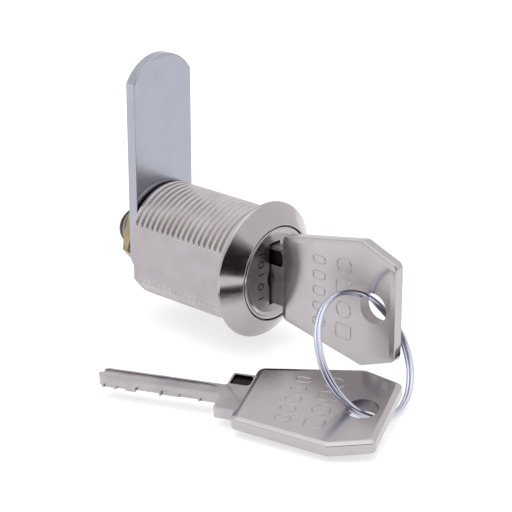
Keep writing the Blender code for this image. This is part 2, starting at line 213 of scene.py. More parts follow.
def extra_finishes(obj, *finishes):
    """Adds materials to a piece after its main one, and returns their indices."""
    for finish in finishes:
        obj.data.materials.append(finish)
    return range(1, len(finishes) + 1)


def link(name, mesh):
    obj = bpy.data.objects.new(name, mesh)
    bpy.context.scene.collection.objects.link(obj)
    return obj


def mesh_from(name, points, faces, where=None, merge=1e-7):
    mesh = bpy.data.meshes.new(name)
    mesh.from_pydata([tuple(p) for p in points], [], faces)
    tidy_mesh(mesh, merge)
    if where is not None:
        mesh.transform(where)
    return link(name, mesh)


def tidy_mesh(mesh, merge=1e-7):
    work = bmesh.new()
    work.from_mesh(mesh)
    bmesh.ops.remove_doubles(work, verts=work.verts, dist=merge)
    bmesh.ops.dissolve_degenerate(work, edges=work.edges, dist=merge)
    bmesh.ops.recalc_face_normals(work, faces=work.faces)
    work.to_mesh(mesh)
    work.free()


def applied(obj):
    """Turns a curve or an object with modifiers into one plain mesh under the same name."""
    name = obj.name
    graph = bpy.context.evaluated_depsgraph_get()
    mesh = bpy.data.meshes.new_from_object(obj.evaluated_get(graph))
    where = obj.matrix_world.copy()
    bpy.data.objects.remove(obj)
    mesh.name = name
    tidy_mesh(mesh)
    made = link(name, mesh)
    made.matrix_world = where
    return made


def boolean(obj, tools, operation="DIFFERENCE"):
    for tool in tools:
        modifier = obj.modifiers.new("cut", "BOOLEAN")
        modifier.operation = operation
        modifier.solver = "EXACT"
        modifier.object = tool
    made = applied(obj)
    for tool in tools:
        bpy.data.objects.remove(tool)
    return made


def plate(name, outlines, thickness, where, bevel=0.0, segments=2):
    """A flat plate on its own XY plane, cut along closed outlines, with rounded edges all round."""
    curve = bpy.data.curves.new(name, "CURVE")
    curve.dimensions = "2D"
    curve.fill_mode = "BOTH"
    curve.extrude = thickness / 2 - bevel
    curve.bevel_depth = bevel
    curve.bevel_resolution = segments
    curve.offset = -bevel
    for points in outlines:
        spline = curve.splines.new("POLY")
        spline.points.add(len(points) - 1)
        for spot, (x, y) in zip(spline.points, points):
            spot.co = (x, y, 0, 1)
        spline.use_cyclic_u = True
    made = applied(link(name, curve))
    made.data.transform(where)
    return made


def block(name, low, high, where=None):
    low, high = Vector(low), Vector(high)
    work = bmesh.new()
    middle = Matrix.Translation((low + high) / 2) @ Matrix.Diagonal((*(high - low), 1))
    bmesh.ops.create_cube(work, size=1, matrix=middle)
    mesh = bpy.data.meshes.new(name)
    work.to_mesh(mesh)
    work.free()
    if where is not None:
        mesh.transform(where)
    return link(name, mesh)


def arc(centre, radius, start_deg, end_deg, steps):
    for i in range(steps + 1):
        angle = math.radians(start_deg + (end_deg - start_deg) * i / steps)
        yield (centre[0] + radius * math.cos(angle), centre[1] + radius * math.sin(angle))


def circle(centre, radius, steps):
    return list(arc(centre, radius, 0, 360 * (steps - 1) / steps, steps - 1))


def rounded(corners, steps=6):
    """A closed outline whose (x, y, radius) corners become arcs."""
    found = []
    for i, (x, y, size) in enumerate(corners):
        here = Vector((x, y))
        back = (Vector(corners[i - 1][:2]) - here).normalized()
        ahead = (Vector(corners[(i + 1) % len(corners)][:2]) - here).normalized()
        if size <= 0:
            found.append((x, y))
            continue
        half = back.angle(ahead) / 2
        centre = here + (back + ahead).normalized() * size / math.sin(half)
        start = here + back * size / math.tan(half) - centre
        sweep = math.pi - 2 * half
        if back.x * ahead.y - back.y * ahead.x > 0:
            sweep = -sweep
        for k in range(steps + 1):
            found.append(tuple(centre + Matrix.Rotation(sweep * k / steps, 2) @ start))
    return found


def along_y(y=0.0, turn_deg=0.0):
    """Local X to world X, local Y to world Z, and local Z to world -Y."""
    stand = Matrix.Rotation(math.radians(90), 4, "X")
    return Matrix.Translation((0, y, 0)) @ Matrix.Rotation(math.radians(turn_deg), 4, "Y") @ stand


def grid_faces(columns, rows, close_rows=False):
    """Quads between neighbouring columns of points, each holding the same number of rows."""
    faces = []
    for c in range(columns - 1):
        for r in range(rows if close_rows else rows - 1):
            after = (r + 1) % rows
            here, beyond = c * rows, (c + 1) * rows
            faces.append((here + r, beyond + r, beyond + after, here + after))
    return faces


def end_caps(columns, rows):
    """The two faces that close a bar built of columns of points."""
    last = (columns - 1) * rows
    return [tuple(range(rows)), tuple(last + r for r in reversed(range(rows)))]


def lathe(name, profile, angles, close=True):
    """Turns (radius, y) points about the Y axis. A profile may be a function of the angle."""
    points = []
    for angle in angles:
        rows = profile(angle) if callable(profile) else profile
        for radius, y in rows:
            points.append((radius * math.cos(angle), y, radius * math.sin(angle)))
    return mesh_from(name, points, grid_faces(len(angles), len(points) // len(angles), close))


def even_angles(steps):
    return [2 * math.pi * i / steps for i in range(steps + 1)]


# One pitch of thread: share of the pitch, height as a share of the depth
THREAD_FORM = (
    (0.0, 0.0),
    (0.06, 0.0),
    (0.22, 0.75),
    (0.32, 1.0),
    (0.74, 1.0),
    (0.84, 0.75),
    (1.0, 0.0),
)


def thread_height(phase):
    """The thread's height, from 0 in its root to 1 on its crest."""
    for (t0, h0), (t1, h1) in zip(THREAD_FORM, THREAD_FORM[1:]):
        if phase <= t1:
            return h0 + (h1 - h0) * (phase - t0) / (t1 - t0)
    return 0.0


def thread_rows(radius, depth, pitch, start, end, fade=0.6):
    """A right-hand thread's (radius, y) rows at an angle, shallower where it starts."""
    turns = math.ceil((end - start) / pitch) + 1

    def rows(angle):
        lead = angle / (2 * math.pi)
        found = []
        for turn in range(turns + 1):
            for phase, _ in THREAD_FORM[:-1]:
                y = min(max(start + pitch * (turn + phase - lead), start), end)
                here = ((y - start) / pitch + lead) % 1.0
                near = min((y - start) / (fade * pitch), 1.0)
                height = thread_height(here)
                found.append((radius - depth * (1 - height) * max(near, 0.25), y))
        return found

    return rows


# ---------------------------------------------------------------- materials

def shader_tree(name):
    made = bpy.data.materials.new(name)
    made.use_nodes = True
    tree = made.node_tree
    return made, tree, tree.nodes["Principled BSDF"]


def node(tree, kind, inputs=None, **settings):
    made = tree.nodes.new(kind)
    for key, value in settings.items():
        setattr(made, key, value)
    for key, value in (inputs or {}).items():
        if isinstance(value, bpy.types.NodeSocket):
            tree.links.new(value, made.inputs[key])
        else:
            made.inputs[key].default_value = value
    return made


def noise(tree, place, scale, detail=3.0, roughness=0.5):
    """Noise whose blotches are about one over scale metres across."""
    inputs = {"Scale": scale, "Detail": detail, "Roughness": roughness}
    made = node(tree, "ShaderNodeTexNoise", inputs)
    tree.links.new(place, made.inputs["Vector"])
    return made.outputs["Fac"]


def ramp(tree, value, stops):
    made = tree.nodes.new("ShaderNodeValToRGB")
    tree.links.new(value, made.inputs["Fac"])
    line = made.color_ramp
    while len(line.elements) < len(stops):
        line.elements.new(1.0)
    for element, (place, colour) in zip(line.elements, stops):
        element.position = place
        element.color = (*colour, 1.0)
    return made.outputs["Color"]


def spread(tree, value, low, high):
    """Maps a 0 to 1 value to the range low to high."""
    made = node(tree, "ShaderNodeMapRange", {"Value": value, "To Min": low, "To Max": high})
    made.inputs["From Min"].default_value = 0.25
    made.inputs["From Max"].default_value = 0.75
    return made.outputs["Result"]


def stretched(tree, scale, turn=(0.0, 0.0, 0.0)):
    """Object coordinates, stretched along one way for brushing and scratches."""
    where = node(tree, "ShaderNodeTexCoord").outputs["Object"]
    mapping = node(tree, "ShaderNodeMapping", {"Vector": where, "Scale": scale, "Rotation": turn})
    return mapping.outputs["Vector"]


def add_relief(tree, shader, height, strength):
    inputs = {"Strength": strength, "Distance": RELIEF_DEPTH, "Height": height}
    relief = node(tree, "ShaderNodeBump", inputs)
    tree.links.new(relief.outputs["Normal"], shader.inputs["Normal"])


BLOTCH_SCALE = 260.0
GRAIN_SCALE = 5200.0
SCRATCH_SCALE = 9000.0
RELIEF_DEPTH = 0.02 * MM


def plated_metal(name, colour, dark, rough, bump, grain=(1.0, 1.0, 1.0), tint=None):
    """Plated metal: tone blotches, fine grain stretched along the finish, and small scratches."""
    made, tree, shader = shader_tree(name)
    where = node(tree, "ShaderNodeTexCoord").outputs["Object"]
    clouds = noise(tree, where, BLOTCH_SCALE, 4.0, 0.55)
    base = ramp(tree, clouds, [(0.34, dark), (0.62, colour)])
    if tint is not None:
        drift = noise(tree, where, BLOTCH_SCALE * 0.35, 2.0)
        mix = node(tree, "ShaderNodeMix", data_type="RGBA", blend_type="MIX")
        tree.links.new(spread(tree, drift, 0.0, 1.0), mix.inputs["Factor"])
        tree.links.new(base, mix.inputs["A"])
        mix.inputs["B"].default_value = (*tint, 1.0)
        base = mix.outputs["Result"]
    tree.links.new(base, shader.inputs["Base Color"])
    shader.inputs["Metallic"].default_value = 1.0
    fine = noise(tree, stretched(tree, grain), GRAIN_SCALE, 5.0, 0.6)
    wear = noise(tree, where, BLOTCH_SCALE * 2.3, 5.0, 0.65)
    both = node(tree, "ShaderNodeMath", operation="MULTIPLY_ADD")
    tree.links.new(wear, both.inputs[0])
    both.inputs[1].default_value = 0.7
    small = node(tree, "ShaderNodeMath", {1: 0.3}, operation="MULTIPLY")
    tree.links.new(fine, small.inputs[0])
    tree.links.new(small.outputs[0], both.inputs[2])
    tree.links.new(spread(tree, both.outputs[0], rough[0], rough[1]), shader.inputs["Roughness"])
    across = stretched(tree, (0.06, 1.0, 1.0), (0.3, 0.5, 0.9))
    scratch = noise(tree, across, SCRATCH_SCALE, 2.0)
    marks = ramp(tree, scratch, [(0.0, (1, 1, 1)), (0.30, (1, 1, 1)), (0.36, (0, 0, 0))])
    level = node(tree, "ShaderNodeMath", operation="MULTIPLY_ADD")
    tree.links.new(marks, level.inputs[0])
    level.inputs[1].default_value = -0.6
    tree.links.new(fine, level.inputs[2])
    add_relief(tree, shader, level.outputs[0], bump)
    return made


def passivated_zinc(name):
    """Yellow passivated zinc, whose thin film drifts through gold, pink and green."""
    made, tree, shader = shader_tree(name)
    where = node(tree, "ShaderNodeTexCoord").outputs["Object"]
    drift = noise(tree, where, 210.0, 3.0, 0.55)
    film = ramp(
        tree,
        drift,
        [
            (0.30, (0.20, 0.22, 0.12)),
            (0.42, (0.36, 0.29, 0.14)),
            (0.52, (0.42, 0.34, 0.19)),
            (0.62, (0.33, 0.22, 0.17)),
            (0.74, (0.28, 0.30, 0.24)),
        ],
    )
    tree.links.new(film, shader.inputs["Base Color"])
    shader.inputs["Metallic"].default_value = 1.0
    fine = noise(tree, where, 5000.0, 4.0)
    tree.links.new(spread(tree, fine, 0.22, 0.42), shader.inputs["Roughness"])
    add_relief(tree, shader, fine, 0.35)
    return made


satin_nickel = plated_metal(
    "satin_nickel", (0.405, 0.372, 0.398), (0.370, 0.338, 0.360), (0.26, 0.38), 0.35
)
polished_nickel = plated_metal(
    "polished_nickel", (0.430, 0.395, 0.402), (0.400, 0.367, 0.372), (0.11, 0.18), 0.10
)
face_nickel = plated_metal(
    "face_nickel", (0.330, 0.298, 0.310), (0.290, 0.262, 0.272), (0.30, 0.42), 0.25
)
thread_nickel = plated_metal(
    "thread_nickel", (0.540, 0.500, 0.500), (0.470, 0.432, 0.430), (0.30, 0.42), 0.5
)
key_nickel = plated_metal(
    "key_nickel", (0.455, 0.432, 0.450), (0.420, 0.398, 0.410), (0.15, 0.24), 0.08,
    tint=(0.455, 0.423, 0.425),
)
milled_key = plated_metal(
    "milled_key", (0.480, 0.450, 0.465), (0.400, 0.377, 0.390), (0.34, 0.46), 0.20,
    grain=(0.1, 1.0, 1.0),
)
bright_zinc = plated_metal(
    "bright_zinc", (0.360, 0.385, 0.458), (0.330, 0.355, 0.418), (0.19, 0.28), 0.25,
    grain=(1.0, 1.0, 0.05), tint=(0.370, 0.374, 0.420),
)
# Dark steel for the stud and the spring washer; the key's groove, cut ends and ring hole walls also
# use it as painted shade
dark_steel_and_cut_shade = plated_metal(
    "dark_steel_and_cut_shade", (0.300, 0.270, 0.290), (0.200, 0.180, 0.200), (0.28, 0.42), 0.4
)
wire_steel = plated_metal(
    "wire_steel", (0.560, 0.575, 0.680), (0.490, 0.505, 0.610), (0.12, 0.20), 0.12,
    grain=(1.0, 0.2, 1.0),
)
cut_brass = plated_metal(
    "cut_brass", (0.700, 0.530, 0.270), (0.580, 0.420, 0.200), (0.22, 0.36), 0.35,
    grain=(1.0, 0.06, 1.0),
)
yellow_zinc = passivated_zinc("yellow_zinc")
# Near-black for painted shade: the plug's hollow, the sunk floors of the face's marks and the key's
# recess are coloured with it
painted_shade_black = plated_metal(
    "painted_shade_black", (0.048, 0.040, 0.042), (0.026, 0.022, 0.023), (0.35, 0.50), 0.4
)


# ---------------------------------------------------------------- housing

def body_angles():
    """Angles round the barrel, closer together where the thread runs out into the flats."""
    found = set()
    for quarter in range(2):
        for sign in (-1, 1):
            for step in range(19):
                angle = math.pi * quarter + sign * math.radians(26.5 + 0.4 * step)
                found.add(round(angle % (2 * math.pi), 7))
    for step in range(144):
        angle = 2 * math.pi * step / 144
        if all(abs(angle - other) > math.radians(0.6) for other in found):
            found.add(round(angle, 7))
    ordered = sorted(found)
    return [*ordered, ordered[0] + 2 * math.pi]


def build_housing():
    outer = [
        (HEAD_BORE_R + 0.02 * MM, FLANGE_FRONT + 0.10 * MM),
        (HEAD_BORE_R + 0.10 * MM, FLANGE_FRONT + 0.015 * MM),
        (HEAD_BORE_R + 0.25 * MM, FLANGE_FRONT + 0.02 * MM),
    ]
    outer += [(radius * MM, y * MM) for radius, y in FLANGE_CONE]
    inner = [
        (BORE_R, BARREL_END),
        (BORE_R, RETAINING_GROOVE_Y[1]),
        (GROOVE_R, RETAINING_GROOVE_Y[1]),
        (GROOVE_R, RETAINING_GROOVE_Y[0]),
        (BORE_R, RETAINING_GROOVE_Y[0]),
        (BORE_R, HEAD_BORE_END),
        (HEAD_BORE_R, HEAD_BORE_END),
    ]
    thread = thread_rows(THREAD_R, THREAD_DEPTH, THREAD_PITCH, THREAD_GAP, BARREL_END - THREAD_GAP)

    def profile(angle):
        flat = FLAT_X / max(abs(math.cos(angle)), 1e-6)
        rows = list(outer)
        for radius, y in thread(angle):
            cone = THREAD_R - max(0.0, y - (BARREL_END - REAR_CHAMFER))
            rows.append((min(radius, cone, flat), y))
        rows.append((min(THREAD_R - 0.22 * MM, flat - 0.03 * MM), BARREL_END))
        return rows + inner

    def pocket(angle):
        """The pocket opens through one flat, where the stop washer's tab turns."""
        reach = REAR_POCKET_R
        if math.cos(angle) < 0:
            reach = min(reach, (FLAT_X - POCKET_WALL) / -math.cos(angle))
        rows = [(0.0, REAR_POCKET_Y), (reach, REAR_POCKET_Y)]
        return [*rows, (reach, BARREL_END + MM), (0.0, BARREL_END + MM)]

    start, end = WAFER_GROOVE_Y
    body = boolean(
        lathe("lock_body", profile, body_angles()),
        [
            lathe("pocket", pocket, even_angles(120), False),
            block("up", (-GROOVE_HALF, start, -GROOVE_R), (GROOVE_HALF, end, GROOVE_R)),
            block("over", (-GROOVE_R, start, -GROOVE_HALF), (GROOVE_R, end, GROOVE_HALF)),
        ],
    )
    finished(body, satin_nickel, "housing", 28)
    polished, threaded = extra_finishes(body, polished_nickel, thread_nickel)
    for face in body.data.polygons:
        middle, normal = face.center, face.normal
        radius = math.hypot(middle.x, middle.z)
        if middle.y < -THREAD_GAP:
            face.material_index = polished
        elif radius > REAR_POCKET_R and abs(normal.x) < 0.999 and middle.y > THREAD_GAP:
            face.material_index = threaded
    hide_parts("housing")
    for name, first in LUGS:
        last = first + LUG_SWEEP_DEG
        outline = list(arc((0, 0), REAR_POCKET_R - 0.03 * MM, first, last, 8))
        outline = [(max(min(x, FLAT_X - LUG_EDGE), LUG_EDGE - FLAT_X), z) for x, z in outline]
        outline += list(arc((0, 0), LUG_INNER_R, last, first, 8))
        where = along_y(REAR_POCKET_Y + LUG_T / 2)
        lug = plate(name, [outline], LUG_T, where, LUG_EDGE, 1)
        finished(lug, satin_nickel, "housing")


# ---------------------------------------------------------------- plug and its face

def build_plug():
    """The CAD plug without its stud, with a hollow behind the face's window whose walls and floor
    are painted near-black as shade.
    """
    mesh = NODES["plug"].data.copy()
    work = bmesh.new()
    work.from_mesh(mesh)
    bmesh.ops.remove_doubles(work, verts=work.verts, dist=1e-7)
    halves = bmesh.ops.bisect_plane(
        work,
        geom=[*work.verts, *work.edges, *work.faces],
        plane_co=(0, TAIL_END - 0.02 * MM, 0),
        plane_no=(0, 1, 0),
        clear_outer=True,
    )
    rim = [g for g in halves["geom_cut"] if isinstance(g, bmesh.types.BMEdge)]
    bmesh.ops.holes_fill(work, edges=rim)
    bmesh.ops.recalc_face_normals(work, faces=work.faces)
    work.to_mesh(mesh)
    work.free()
    plug = link("lock_plug", mesh)
    plug = boolean(plug, [block("hollow", *HOLLOW)])
    finished(plug, cut_brass, "plug", 25)
    # Painted shade: the hollow's walls and floor are coloured near-black
    (dark,) = extra_finishes(plug, painted_shade_black)
    near, far = HOLLOW_SHADE_DEPTHS
    for face in plug.data.polygons:
        middle = face.center
        wall = abs(middle.x) < 2.8 * MM and abs(face.normal.y) < 0.9
        if (middle.y < far and wall) or near < middle.y < far:
            face.material_index = dark
    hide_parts("plug")


def build_stud():
    thread = thread_rows(
        STUD_R, STUD_THREAD_DEPTH, STUD_PITCH, TAIL_END, STUD_END - THREAD_GAP, 0.2
    )

    def profile(angle):
        rows = [(0.0, TAIL_END - 0.01 * MM)]
        for radius, y in thread(angle):
            cone = STUD_R - max(0.0, y - (STUD_END - STUD_CHAMFER)) * 0.9
            rows.append((min(radius, cone), y))
        return [*rows, (STUD_R - 0.75 * MM, STUD_END), (0.0, STUD_END)]

    stud = lathe("threaded_stud", profile, even_angles(72), False)
    finished(stud, dark_steel_and_cut_shade, "plug", 25)


def face_window():
    """The face's opening: the shoulder slot with a shallow bulge beside the blade."""
    right, left = SLOT_HALF + 0.03 * MM, -SLOT_HALF - 0.03 * MM
    top = SLOT_TOP + 0.05 * MM
    points = [(right, -top), (right, top), (left, top), (left, 1.3 * MM)]
    points += list(arc((0.3 * MM, -0.7 * MM), 2.0 * MM, 145, 210, 8))
    points += [(left, -2.4 * MM), (left, -top)]
    return points[::-1]


def build_face():
    """The cap on the plug: a bright rim round a dished face, with its key slot and plain marks
    whose sunk floors are painted near-black as shade.
    """
    dish = [
        (0.0, CAP_BACK),
        (7.2 * MM, CAP_BACK),
        (7.2 * MM, -0.82 * MM),
        (7.5 * MM, -0.80 * MM),
        (CAP_R, -0.86 * MM),
        *((CAP_R - inset * MM, CAP_FRONT + rise * MM) for inset, rise in CAP_RIM),
        (0.0, CAP_FRONT + DISH_RISE),
    ]
    cap = lathe("plug_face", dish, even_angles(128))
    tools = [plate("window", [face_window()], 4 * MM, along_y(-2.0 * MM))]
    level = along_y(CAP_FRONT + CAP_RIM[-1][1] * MM)
    for index, z in enumerate(FACE_MARK_Z):
        place = level @ Matrix.Translation((FACE_MARK_X, z * MM, 0))
        if index % 2:
            outlines = [circle((0, 0), 0.62 * MM, 28), circle((0, 0), 0.42 * MM, 28)]
        else:
            outlines = [lozenge((0, 0), 0.62 * MM, 0.11 * MM, 0.08 * MM)]
        tools.append(plate(f"mark_{index}", outlines, 0.24 * MM, place))
    cap = boolean(cap, tools)
    finished(cap, face_nickel, "plug", 30)
    rim, dark = extra_finishes(cap, polished_nickel, painted_shade_black)
    for face in cap.data.polygons:
        middle = face.center
        sunk = CAP_FRONT + DISH_RISE < middle.y < CAP_BACK - 0.1 * MM
        if math.hypot(middle.x, middle.z) > CAP_R - 1.2 * MM and middle.y < -0.8 * MM:
            face.material_index = rim
        # Painted shade: the sunk floors of the marks are coloured near-black
        elif middle.x < -2.5 * MM and sunk:
            face.material_index = dark
    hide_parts("face_cap")


# ---------------------------------------------------------------- parts on the tail

def square_hole():
    reach = math.degrees(math.acos(TAIL_HOLE / TAIL_HOLE_R))
    points = []
    for side in range(4):
        points += arc((0, 0), TAIL_HOLE_R, 90 * side + reach, 90 * side + 90 - reach, 5)
    return points


def build_cam():
    low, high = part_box("cam")
    top_centre = high.z - CAM_TOP_R
    top_reach = math.degrees(math.asin(CAM_HALF / CAM_TOP_R))
    foot_reach = math.degrees(math.asin(CAM_HALF / CAM_FOOT_R))
    outline = list(arc((0, top_centre), CAM_TOP_R, 90 - top_reach, 90 + top_reach, 40))
    outline += list(arc((0, 0), CAM_FOOT_R, 270 - foot_reach, 270 + foot_reach, 40))
    where = along_y((low.y + high.y) / 2)
    cam = plate("cam_bar", [outline, square_hole()], high.y - low.y, where, 0.16 * MM, 3)
    finished(cam, bright_zinc, "plug", 40)
    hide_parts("cam")


def build_spring_washer():
    """One turn of square wire that rises a little from end to end."""
    inner, outer = WASHER_R
    low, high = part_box("lock_washer")
    mid = (low.y + high.y) / 2
    near, far = inner + 0.02 * MM, outer - 0.02 * MM
    corners = (
        (near, -WASHER_HALF_T), (far, -WASHER_HALF_T), (far, WASHER_HALF_T), (near, WASHER_HALF_T)
    )
    section = rounded([(x, y, WASHER_EDGE) for x, y in corners], 3)
    points = []
    steps = 90
    for i in range(steps + 1):
        angle = math.radians(WASHER_START_DEG + WASHER_SWEEP_DEG * i / steps)
        lift = WASHER_RISE * (i / steps - 0.5)
        for radius, y in section:
            points.append((radius * math.cos(angle), mid + y + lift, radius * math.sin(angle)))
    count = len(section)
    faces = grid_faces(steps + 1, count, True) + end_caps(steps + 1, count)
    washer = mesh_from("spring_washer", points, faces)
    finished(washer, dark_steel_and_cut_shade, "plug", 40)
    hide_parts("lock_washer")


# ---------------------------------------------------------------- keys

BOW = (
    (*BOW_START, BOW_ROUND),
    (*BOW_WIDEST, BOW_ROUND),
    (*BOW_END, BOW_ROUND),
    (BOW_END[0], -BOW_END[1], BOW_ROUND),
    (BOW_WIDEST[0], -BOW_WIDEST[1], BOW_ROUND),
    (BOW_START[0], -BOW_START[1], BOW_ROUND),
)
# The bow's rounded, chamfered side in mm: how far in from the edge, and how far from the middle
BOW_SIDE = ((0.0, 0.70), (0.03, 0.79), (0.09, 0.86), (0.17, 0.895), (0.78, 1.025), (0.92, 1.05))


def inset_corners(corners, distance):
    """A convex outline's corners, moved inwards from every side."""
    found = []
    middle = sum((Vector(c[:2]) for c in corners), Vector((0, 0))) / len(corners)
    for i, (x, y, radius) in enumerate(corners):
        here = Vector((x, y))
        sides = []
        for other in (corners[i - 1], corners[(i + 1) % len(corners)]):
            along = (Vector(other[:2]) - here).normalized()
            inward = Vector((-along.y, along.x))
            sides.append(inward if inward.dot(middle - here) > 0 else -inward)
        first, second = sides
        spot = here + (first + second) * distance / (1 + first.dot(second))
        found.append((spot.x, spot.y, max(radius - 0.5 * distance, 0.2 * MM)))
    return found


def build_bow(name):
    """The bow alone: a flat plate whose edges are chamfered on both faces."""
    levels = [(inset, -w) for inset, w in reversed(BOW_SIDE)] + list(BOW_SIDE)
    points = []
    for inset, w in levels:
        ring = rounded(inset_corners(BOW, inset * MM), 6)
        points += [(u, v, w * MM) for u, v in ring]
    count = len(points) // len(levels)
    faces = grid_faces(len(levels), count, True)
    faces.append(tuple(range(count)))
    faces.append(tuple((len(levels) - 1) * count + i for i in range(count)))
    return mesh_from(name, points, faces)


def blade_outline():
    tip = 1.0 * MM
    inside = BOW_START[0] + 2 * MM
    far = [
        (BLADE_TIP, BLADE_HALF - tip, 0.55 * MM),
        (BLADE_TIP + tip, BLADE_HALF, 0.6 * MM),
        (SHOULDER[0], BLADE_HALF, 0.3 * MM),
        (*SHOULDER, 0.4 * MM),
        (inside, SHOULDER[1], 0.2 * MM),
    ]
    return rounded(far + [(u, -v, r) for u, v, r in reversed(far)], 6)


def tube(name, path, radius, sides=8, closed=False):
    """A round bar along a path in the XY plane, with one radius or one for each point."""
    points = []
    count = len(path)
    for i, (x, y) in enumerate(path):
        before = path[i - 1] if closed or i else path[0]
        after = path[(i + 1) % count] if closed or i < count - 1 else path[-1]
        way = Vector((after[0] - before[0], after[1] - before[1])).normalized()
        for k in range(sides):
            angle = 2 * math.pi * k / sides
            size = radius[i] if isinstance(radius, (list, tuple)) else radius
            out = size * math.cos(angle)
            points.append((x - way.y * out, y + way.x * out, size * math.sin(angle)))
    faces = grid_faces(count, sides, True)
    if closed:
        last = (count - 1) * sides
        faces += [(last + k, k, (k + 1) % sides, last + (k + 1) % sides) for k in range(sides)]
    else:
        faces += end_caps(count, sides)
    return mesh_from(name, points, faces)


def lozenge(centre, half_u, half_v, radius):
    return rounded(
        [
            (centre[0] - half_u, centre[1] - half_v, radius),
            (centre[0] + half_u, centre[1] - half_v, radius),
            (centre[0] + half_u, centre[1] + half_v, radius),
            (centre[0] - half_u, centre[1] + half_v, radius),
        ],
        5,
    )


def key_marks():
    """Plain embossed outlines in two columns across the bow: pills and rings."""
    marks = []
    for index, v in enumerate(FAR_MARKS_V):
        spot = (FAR_MARKS_U, v * MM)
        if index % 2:
            marks.append(circle(spot, 1.35 * MM, 30))
        else:
            marks.append(lozenge(spot, 1.45 * MM, 1.15 * MM, 0.45 * MM))
    for v in NEAR_MARKS_V:
        marks.append(lozenge((NEAR_MARKS_U, v * MM), 1.15 * MM, 0.65 * MM, 0.55 * MM))
    return marks


def scaled(corners, radius=None):
    """Corners given in mm, in metres, with a radius for those that don't name one."""
    return [tuple(value * MM for value in (c if radius is None else (*c, radius))) for c in corners]


def key_cutters():
    """The solids that are taken out of a key: ring hole, grooves, side cuts and recess."""
    flat = Matrix.Identity(4)
    tools = [plate("hole", [circle((RING_HOLE_U, 0), RING_HOLE_R, 64)], 4 * MM, flat)]
    for side in (-1, 1):
        path = [(u * MM, GROOVE_V) for u, _ in GROOVE_RUN]
        groove = tube(f"groove_{side}", path, [radius * MM for _, radius in GROOVE_RUN], 24)
        groove.data.transform(Matrix.Translation((0, 0, side * (BLADE_W + 0.02 * MM))))
        tools.append(groove)
    for number, (start, end, top, depth) in enumerate(BLADE_CUTS):
        corners = [(start, -2.0, 0.05), (end, -2.0, 0.05), (end, top, 0.35), (start, top, 0.5)]
        down = Matrix.Translation((0, depth * MM - BLADE_HALF - MM, 0))
        place = down @ Matrix.Rotation(math.pi / 2, 4, "X")
        tools.append(plate(f"cut_{number}", [rounded(scaled(corners), 6)], 2 * MM, place))
    recess = rounded(scaled(RECESS_CORNERS, 0.2), 4)
    above = Matrix.Translation((0, 0, RECESS_FLOOR + MM))
    tools.append(plate("recess", [recess], 2 * MM, above))
    return tools


def finish_key_faces(key):
    """Paints shade into what is cut into a key, darker in the groove, cut ends and ring hole walls
    and near-black in the recess, and gives its blade a milled finish.
    """
    cut, dark, milled = extra_finishes(key, dark_steel_and_cut_shade, painted_shade_black, milled_key)
    for face in key.data.polygons:
        u, v, w = face.center
        normal = face.normal
        in_groove = u < 0.6 * MM and abs(v - GROOVE_V) < 0.47 * MM
        sunk = 0.2 * MM < abs(w) < BLADE_W - 0.01 * MM and abs(normal.x) < 0.9
        in_recess = 1.7 * MM < u < 4.9 * MM and 1.7 * MM < v < 4.4 * MM
        cut_end = abs(normal.x) > 0.6 and u < 1.2 * MM
        ring_hole = math.hypot(u - RING_HOLE_U, v) < RING_HOLE_R + 0.02 * MM
        # Painted shade: groove walls, cut ends and ring hole walls darker, the recess near-black
        if in_groove and sunk:
            face.material_index = cut
        elif in_recess and 0 < w < BLADE_W - 0.02 * MM:
            face.material_index = dark
        elif v < 0.7 * MM - BLADE_HALF and w < 0 and cut_end:
            face.material_index = cut
        elif ring_hole and abs(normal.z) < 0.5:
            face.material_index = cut
        elif u < BOW_START[0]:
            face.material_index = milled


def build_key_marks(name, where, body):
    """The embossed outlines on both faces of a key's bow."""
    for side in (-1, 1):
        level = side * (KEY_T / 2 - MARK_SINK)
        work = bmesh.new()
        for path in key_marks():
            outline = tube("mark", path, MARK_R, 8, True)
            work.from_mesh(outline.data)
            bpy.data.objects.remove(outline)
        mesh = bpy.data.meshes.new(f"{name}_marks")
        work.to_mesh(mesh)
        work.free()
        mesh.transform(where @ Matrix.Translation((0, 0, level)))
        marks = link(f"{name}_marks_{'front' if side > 0 else 'back'}", mesh)
        finished(marks, key_nickel, body, 60)


def build_key(name, where, node_name, body):
    """A stamped key: chamfered bow, thinner blade with milled grooves and scooped cuts."""
    flat = Matrix.Identity(4)
    blade = plate(name + "_blade", [blade_outline()], 2 * BLADE_W, flat, 0.13 * MM, 3)
    key = boolean(build_bow(name), [blade], "UNION")
    key = boolean(key, key_cutters())
    finished(key, key_nickel, body, 30)
    finish_key_faces(key)
    key.data.transform(where)
    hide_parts(node_name)
    build_key_marks(name, where, body)


def key_in_lock():
    """u to world -Y, v to +Z and w to -X."""
    return Matrix(((0, 0, -1, 0), (-1, 0, 0, 0), (0, 1, 0, 0), (0, 0, 0, 1)))


def spare_key_place():
    turn = Euler([math.radians(a) for a in SPARE_TURN_DEG], "XYZ").to_matrix().to_4x4()
    return Matrix.Translation(SPARE_PLACE) @ turn


# ---------------------------------------------------------------- split ring

